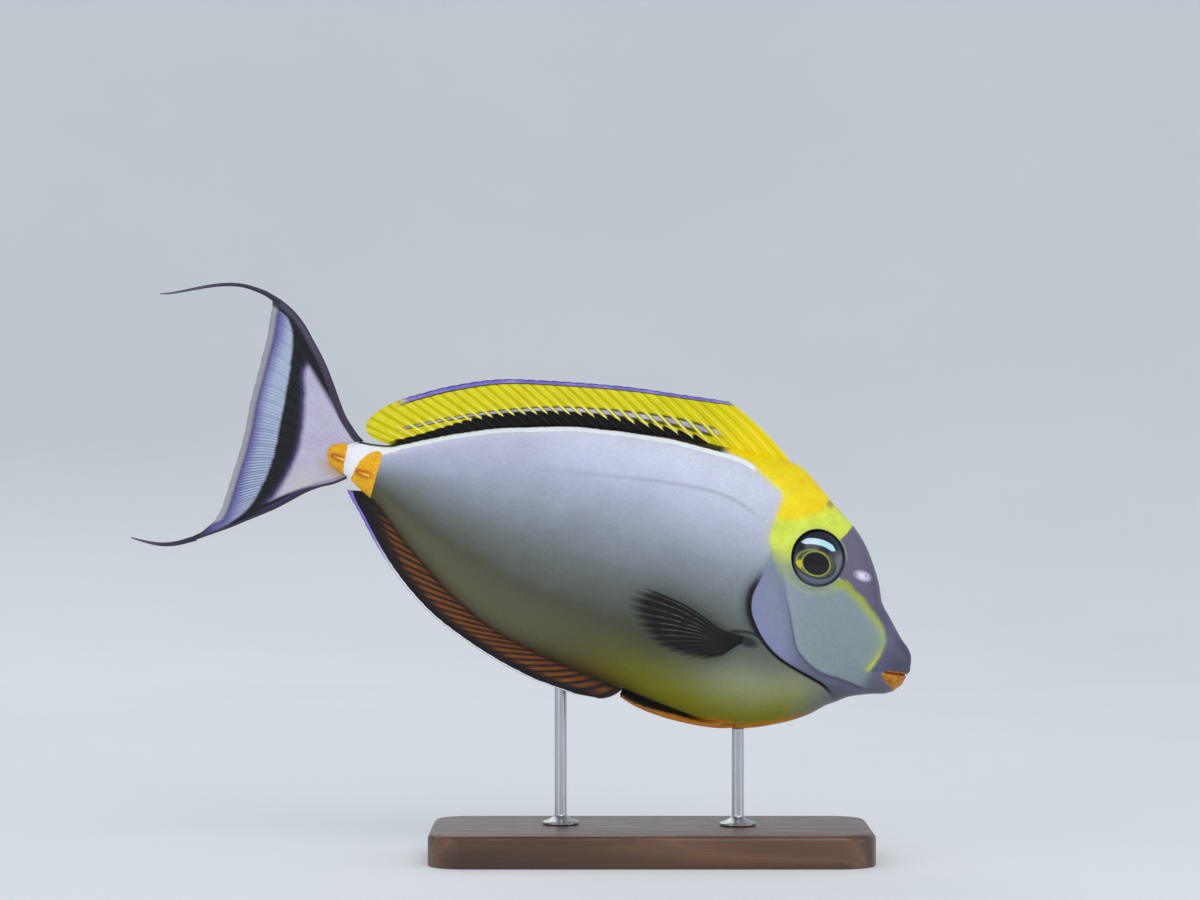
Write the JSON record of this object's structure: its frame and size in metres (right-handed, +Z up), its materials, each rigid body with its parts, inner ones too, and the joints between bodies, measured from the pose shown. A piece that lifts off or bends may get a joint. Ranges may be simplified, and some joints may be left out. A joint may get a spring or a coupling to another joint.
{
  "type": "elegant unicornfish model",
  "caption": "Life-size elegant unicornfish, nose down, with folded dorsal fin, crescent tail with drawn-out corners and bladed tail stalk, held over a wooden base by steel rods.",
  "frame": {"origin": "centre of the base's underside, on the floor", "axes": "+X towards the head, along the fish and the base's long side; +Y towards the fish's left side; +Z up"},
  "size_m": [0.3369, 0.09, 0.2489],
  "materials": {
    "flesh_head": "satin painted skin, grey cheek with a purple-grey mask",
    "flesh_trunk": "satin painted skin, lavender grey above and olive below",
    "flesh_tail_stalk": "satin painted skin, white and orange",
    "dorsal_fin": "satin, yellow with a black base band and a violet-white margin",
    "anal_fin": "satin, orange-brown with a black line and a white margin",
    "tail_fin": "satin, lavender with a black and a pale blue crescent",
    "tail_thread": "satin dark violet",
    "pectoral_fin": "satin blackish",
    "pelvic_fin": "satin, orange-brown with a black upper edge",
    "keel": "satin orange",
    "eye": "glossy dark eye with a gold ring",
    "stand_wood": "dark stained wood, satin varnish",
    "stand_steel": "brushed steel rod"
  },
  "bodies": {
    "root": {"head": "flesh_head", "trunk": "flesh_trunk", "tail_stalk": "flesh_tail_stalk", "dorsal_fin": "dorsal_fin", "anal_fin": "anal_fin", "tail_fin_upper": "tail_fin", "tail_fin_lower": "tail_fin", "tail_streamer_upper": "tail_thread", "tail_streamer_lower": "tail_thread", "pectoral_fin_left": "pectoral_fin", "pectoral_fin_right": "pectoral_fin", "pelvic_fin_left": "pelvic_fin", "pelvic_fin_right": "pelvic_fin", "keel_front_left": "keel", "keel_front_right": "keel", "keel_rear_left": "keel", "keel_rear_right": "keel", "eye_left": "eye", "eye_right": "eye", "stand_base": "stand_wood", "stand_rod_front": "stand_steel", "stand_rod_rear": "stand_steel"}
  },
  "joints": []
}
